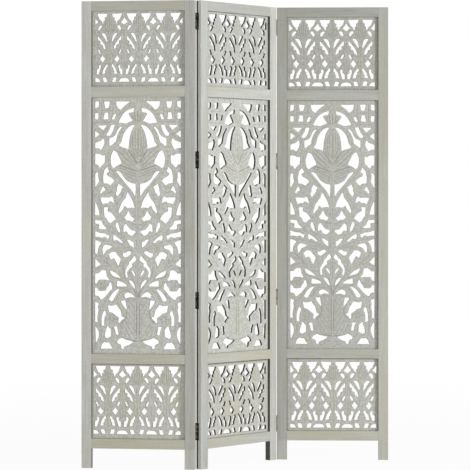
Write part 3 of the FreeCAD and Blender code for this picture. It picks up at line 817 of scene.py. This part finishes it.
def boardHollow(shadedRailEdges):
    # Darker wash lies in the tool cuts and a little along the openings; where the board meets its frame
    # there is painted shade, partly a dark joint.
    def build(tree, local):
        place = axesOf(tree, local)
        return strongest(tree,
                         fromAttribute("sunk", *wearAndShading["cuts"])(tree, local),
                         fromAttribute("rim", *wearAndShading["rims"])(tree, local),
                         besideEither(tree, place["X"], windowSides, *wearAndShading["boardSideShade"]),
                         alongEdges(tree, place["Z"], shadedRailEdges, 1.0))
    return build


def railBareShaded(shadedRailEdges):
    # Bare wood with painted shade on the rails inside the windows.
    def build(tree, local):
        return alongEdges(tree, axesOf(tree, local)["Z"], shadedRailEdges, wearAndShading["endReveal"])
    return build


def stileBareShaded(tree, local):
    # Bare wood with painted shade over it on the inner faces of the windows and legs, and on the rear
    # part of the outer edges, where the panels meet at the folds.
    place = axesOf(tree, local)
    inner = besideEither(tree, place["X"], windowSides, *wearAndShading["revealShade"])
    outer = besideEither(tree, place["X"], outerSides, *wearAndShading["outerEdges"])
    rear = spread(tree, place["Y"], *wearAndShading["outerRearShade"])
    return strongest(tree, inner, maths(tree, "MULTIPLY", outer, rear))


def stileToneAndLight(foot, top, leg):
    # Painted light and shade: lighter or darker from foot to top, a step at the legs, and paler outer edges.
    def build(tree, local):
        place = axesOf(tree, local)
        legTop, step = panelSizes["legTop"], wearAndShading["legLightStep"]
        along = spread(tree, place["Z"], 0.0, panelSizes["height"], foot, top)
        edge = besideEither(tree, place["X"], outerSides, *wearAndShading["outerEdges"][:2], wearAndShading["outerEdgeLight"], 1)
        below = spread(tree, place["Z"], legTop - step, legTop + step, leg, 1)
        return maths(tree, "MULTIPLY", along, maths(tree, "MULTIPLY", edge, below))
    return build


def foldArris(tree, local):
    # Dark line along the edge that faces the right fold.
    return spread(tree, axesOf(tree, local)["X"], *wearAndShading["foldLine"], 0)


hingeMetal = {
    "dark": (0.033, 0.032, 0.026, 1),
    "paleSpots": (0.62, 0.60, 0.52, 1),
    "washed": (0.36, 0.365, 0.33, 1),
    "metallic": 0.6,
    # the knuckles get extra patches within this reach
    "knuckle": (0.0014, 0.0022),    # off the axis, where extra wear ends
    "knuckleExtra": 0.12,
    "mostPatch": 0.9,
    "pitStrength": 0.1,
    "pitDepth": 0.0003,
    "roughness": (0.3, 0.7, 0.35, 0.6),
}


def hingeMaterial(name, patchColour, low, high, axis):
    # Dark steel with patches of the given colour: pale patches on the ridge fold's hinges, wash brushed over
    # the valley fold's hinges and the screws. There is more of it on the knuckles, which lie about the axis.
    material, tree, shader = newMaterial(name)
    coords = addNode(tree, "ShaderNodeTexCoord").outputs["Object"]
    patch = noise(tree, coords, "patch")
    offAxis = vectorMaths(tree, "SUBTRACT", {0: coords, 1: (axis[0], axis[1], 0)})[0]
    flat = vectorMaths(tree, "MULTIPLY", {0: offAxis, 1: (1, 1, 0)})[0]
    reach = vectorMaths(tree, "LENGTH", {0: flat})["Value"]
    extra = spread(tree, reach, *hingeMetal["knuckle"], hingeMetal["knuckleExtra"], 0)
    share = spread(tree, maths(tree, "ADD", patch, extra), low, high, 0, hingeMetal["mostPatch"])
    bump = addNode(tree, "ShaderNodeBump", {"Strength": hingeMetal["pitStrength"], "Height": patch,
                                            "Distance": hingeMetal["pitDepth"]})
    feed(tree, shader, {"Base Color": mixColours(tree, share, hingeMetal["dark"], patchColour),
                        "Roughness": spread(tree, patch, *hingeMetal["roughness"]),
                        "Normal": bump.outputs[0], "Metallic": hingeMetal["metallic"]})
    return material


# Panels

frameFinish = {
    "weldReach": 0.00002,
    "arrisWidth": 0.0005,
    "arrisSegments": 2,
    "arrisAngle": 40.0,
}


def dressMember(node, material):
    # Sawn edges eased by hand: welded corners, then a narrow round on every arris.
    member = frame["nodes"][node]
    member.data.materials.clear()
    member.data.materials.append(material)
    weld = member.modifiers.new("weld", "WELD")
    weld.merge_threshold = frameFinish["weldReach"]
    ease = member.modifiers.new("ease", "BEVEL")
    ease.width = frameFinish["arrisWidth"]
    ease.segments = frameFinish["arrisSegments"]
    ease.limit_method = "ANGLE"
    ease.angle_limit = math.radians(frameFinish["arrisAngle"])


# Every member took the wash a little differently, and its tone also holds painted light and shade,
# such as a stile darker in the valley fold: (tone, warmth). A stile has its tone at the foot and the top,
# and what its leg has of it.
memberToneAndLight = {
    "left": {
        "left_stile": ((1.17, 1.17, 1.0), 0.15), "right_stile": ((0.92, 0.92, 1.13), 0.2),
        "top_rail": (1.0, 0.25), "upper_rail": (1.11, 0.25),
        "lower_rail": (1.10, 0.55), "bottom_rail": (1.13, 0.55),
        "main_fretwork": (1.18, 0.15), "top_fretwork": (1.11, 0.15), "bottom_fretwork": (1.20, 0.3),
    },
    "middle": {
        "left_stile": ((0.95, 1.04, 1.0), 0.0), "right_stile": ((1.0, 1.10, 1.0), 0.05),
        "top_rail": (0.92, 0.05), "upper_rail": (1.07, 0.0),
        "lower_rail": (1.03, 0.33), "bottom_rail": (1.01, 0.1),
        "main_fretwork": (1.09, 0.05), "top_fretwork": (1.06, 0.05), "bottom_fretwork": (1.11, 0.3),
    },
    "right": {
        "left_stile": ((0.80, 0.74, 1.14), 0.25), "right_stile": ((1.02, 0.82, 0.97), 0.25),
        "top_rail": (0.73, 0.2), "upper_rail": (0.86, 0.2),
        "lower_rail": (0.88, 0.3), "bottom_rail": (1.02, 0.5),
        "main_fretwork": (0.95, 0.12), "top_fretwork": (0.87, 0.15), "bottom_fretwork": (1.01, 0.22),
    },
}

# Each design sits a little off the middle of its board, across and up in millimetres, and its
# openings are cut wider, or closer where the third number is negative.
boardCut = {
    "left": {
        "main_fretwork": (-2.9, 0.9, 0.8),
        "top_fretwork": (0.3, 3.5, -0.5),
        "bottom_fretwork": (-6.0, 2.6, 0.25),
    },
    "middle": {
        "main_fretwork": (1.1, -1.7, 0.4),
        "top_fretwork": (1.6, 2.4, 1.3),
        "bottom_fretwork": (-2.0, -2.2, 1.1),
    },
    "right": {
        "main_fretwork": (-0.9, 0.4, 0.0),
        "top_fretwork": (-2.4, 1.5, 0.1),
        "bottom_fretwork": (2.2, -2.4, 0.4),
    },
}

# Painted shade along the ends of the windows, partly a dark joint, from the top down: strength and reach.
windowEnds = (("top_rail", "low"), ("upper_rail", "high"), ("upper_rail", "low"),
              ("lower_rail", "high"), ("lower_rail", "low"), ("bottom_rail", "high"))
windowEndShade = {
    "left": ((0.2, 0.0026), (0.6, 0.0026), (0.15, 0.0026), (0.3, 0.0026), (0.8, 0.0030), (0.4, 0.0026)),
    "middle": ((0.6, 0.0034), (0.3, 0.0026), (0.75, 0.0036), (0.3, 0.0026), (1.0, 0.0062), (0.35, 0.0026)),
    "right": ((0.35, 0.0026), (0.55, 0.0026), (0.45, 0.0030), (0.2, 0.0026), (0.95, 0.0034), (0.35, 0.0026)),
}

for index, (panelName, members) in enumerate(memberToneAndLight.items()):
    shadedRailEdges = []
    for (rail, side), (strength, reach) in zip(windowEnds, windowEndShade[panelName]):
        low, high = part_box(f"{panelName}_panel_{rail}")
        shadedRailEdges.append((low.z if side == "low" else high.z, strength, reach))
    for member, (tone, warmth) in members.items():
        name, node = f"{panelName}_{member}", f"{panelName}_panel_{member}"
        wash = {"Tone": tone, "Warmth": warmth, "Mottle": greyWash["frameMottle"]}
        if member.endswith("rail"):
            # Rails: bare wood with painted shade along the window ends.
            wash["Raw"] = railBareShaded(shadedRailEdges)
            dressMember(node, woodMaterial(name, panelName, "across", wash))
        elif member.endswith("stile"):
            # Stiles: painted shade on the inner faces and rear outer edges, painted light and shade in the
            # tone.
            wash.update({"Raw": stileBareShaded, "Tone": stileToneAndLight(*tone)})
            if name == "right_left_stile":
                wash["Hollow"] = foldArris
            dressMember(node, woodMaterial(name, panelName, "up", wash))
        else:
            board, forms = (tallBoard, tallForms) if member == "main_fretwork" else (smallBoard, None)
            phase = carving["phases"][0] * index + carving["phases"][1] * len(member)
            *drift, openness = boardCut[panelName][member]
            piece = carvedBoard(f"{name}_carved", panelName, node, board, forms, phase, drift, openness)
            # The board's sawn walls are bare wood with painted shade; darker wash in its cuts, and painted
            # shade where it meets its frame.
            wash.update({"Hollow": boardHollow(shadedRailEdges), "Raw": fromAttribute("sawn", *wearAndShading["sawn"]),
                         "Mottle": greyWash["boardMottle"]})
            piece.data.materials.append(woodMaterial(name, panelName, "up", wash))
    print(f"{panelName} panel dressed")

# Hinges: the ridge fold's are dark, the valley fold's were brushed over with wash.

hingeSizes = {
    "heights": (1577.0, 1089.0, 594.0, 132.0),
    "leaf": 0.5,                      # leaf thickness
    "screwRise": (-21.0, 0.0, 21.0),
    "screwDepth": (6.0, 8.5, 6.0),    # from the face on the axis side
    "screwRadius": 2.2,
    "screwSides": 24,
    "screwRings": 6,
    "proud": 0.05,
    "slot": 0.45,                     # half width of the driver's slot
    "slotAim": (0.8, 0.6),
    "slotDepth": 0.6,                 # share of what the head stands proud
    "slotReach": 0.95,
}


def screwHeads(name, panelName, bodyEdge, outward, fromBack):
    # Each head is a shallow dome on rings about its middle, with a slot pressed across it. The
    # heads of one set of leaves are copies of it over the leaf's face.
    sides, radius, proud = hingeSizes["screwSides"], hingeSizes["screwRadius"], hingeSizes["proud"]
    rings, around = np.meshgrid(np.linspace(0, 1, hingeSizes["screwRings"]),
                                np.linspace(0, 2 * np.pi, sides, endpoint=False), indexing="ij")
    u, v = rings * np.cos(around), rings * np.sin(around)
    offSlot = np.abs(u * hingeSizes["slotAim"][0] + v * hingeSizes["slotAim"][1]) * radius
    slot = np.clip(1 - (offSlot / hingeSizes["slot"]) ** 2, 0, 1) * (rings < hingeSizes["slotReach"])
    lift = proud * np.sqrt(1 - 0.999 * rings ** 2) - hingeSizes["slotDepth"] * slot * proud
    depth, height = np.array([(depth, height + rise) for height in hingeSizes["heights"]
                              for rise, depth in zip(hingeSizes["screwRise"], hingeSizes["screwDepth"])]).T
    if fromBack:
        depth = panelSizes["thickness"] * 1000 - depth
    inward = depth[:, None, None] + radius * u
    up = height[:, None, None] + radius * v
    across = bodyEdge + outward * (hingeSizes["leaf"] + lift) + 0 * up
    verts = toWorld(panelName, across, inward, up).reshape(-1, 3)
    step, after = np.arange(sides), (np.arange(sides) + 1) % sides
    ring = np.arange(hingeSizes["screwRings"] - 1)[:, None] * sides
    one = np.stack([ring + step, ring + after, ring + sides + after, ring + sides + step], axis=-1)
    faces = (one.reshape(1, -1, 4) + np.arange(len(depth))[:, None, None] * rings.size).reshape(-1, 4)
    if outward > 0:
        faces = faces[:, ::-1]
    mesh = bpy.data.meshes.new(name)
    mesh.from_pydata(verts.tolist(), [], faces.tolist())
    mesh.validate()
    mesh.shade_smooth()
    piece = inScene(name, mesh)
    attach(piece, f"{panelName}_panel")
    return piece


darkSteel = hingeMaterial("darkSteel", hingeMetal["paleSpots"], 0.58, 0.70, folds["left_fold"]["pos_m"])
washedSteel = hingeMaterial("washedSteel", hingeMetal["washed"], 0.49, 0.60, folds["right_fold"]["pos_m"])
screwSteel = hingeMaterial("screwSteel", hingeMetal["washed"], 0.30, 0.60, (0, 0, 0))
for node, member in frame["nodes"].items():
    if "knuckle" in node:
        member.data.materials.clear()
        member.data.materials.append(darkSteel if node.startswith("left") else washedSteel)
farEdge = panelSizes["width"] * 1000
for name, panelName, bodyEdge, outward, fromBack in (
    ("left_fold_middle_screws", "middle", 0.0, -1, True),
    ("left_fold_outer_screws", "left", farEdge, 1, True),
    ("right_fold_middle_screws", "middle", farEdge, 1, False),
    ("right_fold_outer_screws", "right", 0.0, -1, False),
):
    screwHeads(name, panelName, bodyEdge, outward, fromBack).data.materials.append(screwSteel)
print("hinges dressed")


# Room and camera

studio = {
    "camera": (-0.00821, -7.96675, 0.95519),
    "imageSize": 470,          # the picture's sides, and in it the focal length and the horizon
    "focal": 2221.43,
    "horizon": 197.87,
    "sensor": 36,
    "farClip": 200,
    "target": (0, 0, 0.8),
    "key": {"place": (3.64, -2.65, 1.2), "size": 1.0, "power": 98},
    "fill": {"place": (-0.6, -7.6, 1.5), "size": 2.2, "power": 68},
    "skyLevel": 0.40,
    "floorReach": 60.0,
    "floorColour": (0.86, 0.86, 0.86, 1),
    "floorRoughness": 0.9,
    "floorGlow": 0.95,         # near the object, white from the far end of the glow's reach
    "glowReach": (1.0, 4.0),
}


def seenPath(tree):
    # 1 for what the camera, gloss and glass see.
    path = addNode(tree, "ShaderNodeLightPath").outputs
    return strongest(tree, path["Is Camera Ray"], path["Is Glossy Ray"], path["Is Transmission Ray"])


def whiteFloor():
    # A wide pale floor, white to the camera apart from a soft shadow.
    mesh = bpy.data.meshes.new("floor")
    reach = studio["floorReach"]
    mesh.from_pydata([(-reach, -reach, 0), (reach, -reach, 0), (reach, reach, 0), (-reach, reach, 0)], [],
                     [(0, 1, 2, 3)])
    floor = inScene("floor", mesh)
    material, tree, shader = newMaterial("paleFloor")
    feed(tree, shader, {"Base Color": studio["floorColour"], "Roughness": studio["floorRoughness"]})
    glow = addNode(tree, "ShaderNodeEmission", {"Color": (1, 1, 1, 1), "Strength": 1.0})
    coords = addNode(tree, "ShaderNodeTexCoord").outputs["Object"]
    away = vectorMaths(tree, "LENGTH", {0: coords})["Value"]
    level = spread(tree, away, *studio["glowReach"], studio["floorGlow"], 1.0)
    share = maths(tree, "MULTIPLY", seenPath(tree), level)
    blend = addNode(tree, "ShaderNodeMixShader", {0: share, 1: shader.outputs[0], 2: glow.outputs[0]})
    feed(tree, tree.nodes["Material Output"], {"Surface": blend.outputs[0]})
    mesh.materials.append(material)


def softSky():
    # Even grey light all round; the camera, gloss and glass see white.
    world = bpy.data.worlds.new("studio")
    bpy.context.scene.world = world
    world.use_nodes = True
    tree = world.node_tree
    strength = spread(tree, seenPath(tree), 0, 1, studio["skyLevel"], 1.0)
    feed(tree, tree.nodes["Background"], {"Color": (1, 1, 1, 1), "Strength": strength})


def areaLamp(name):
    # A disk lamp, tipped up from straight down and turned to face the target.
    lamp = studio[name]
    data = bpy.data.lights.new(name, "AREA")
    data.shape = "DISK"
    data.size = lamp["size"]
    data.energy = lamp["power"]
    thing = inScene(name, data)
    thing.location = lamp["place"]
    x, y, z = np.array(studio["target"]) - np.array(lamp["place"])
    thing.rotation_euler = (math.atan2(math.hypot(x, y), -z), 0, math.atan2(y, x) - math.pi / 2)


whiteFloor()
softSky()
areaLamp("key")
areaLamp("fill")

cameraData = bpy.data.cameras.new("camera")
cameraData.lens = studio["focal"] / studio["imageSize"] * studio["sensor"]
cameraData.sensor_width = studio["sensor"]
cameraData.shift_y = (studio["horizon"] - studio["imageSize"] / 2) / studio["imageSize"]
cameraData.clip_end = studio["farClip"]
camera = inScene("camera", cameraData)
camera.location = studio["camera"]
camera.rotation_euler = (math.radians(90), 0, 0)
bpy.context.scene.camera = camera
bpy.context.scene.view_settings.view_transform = "Standard"
print("room and camera set")
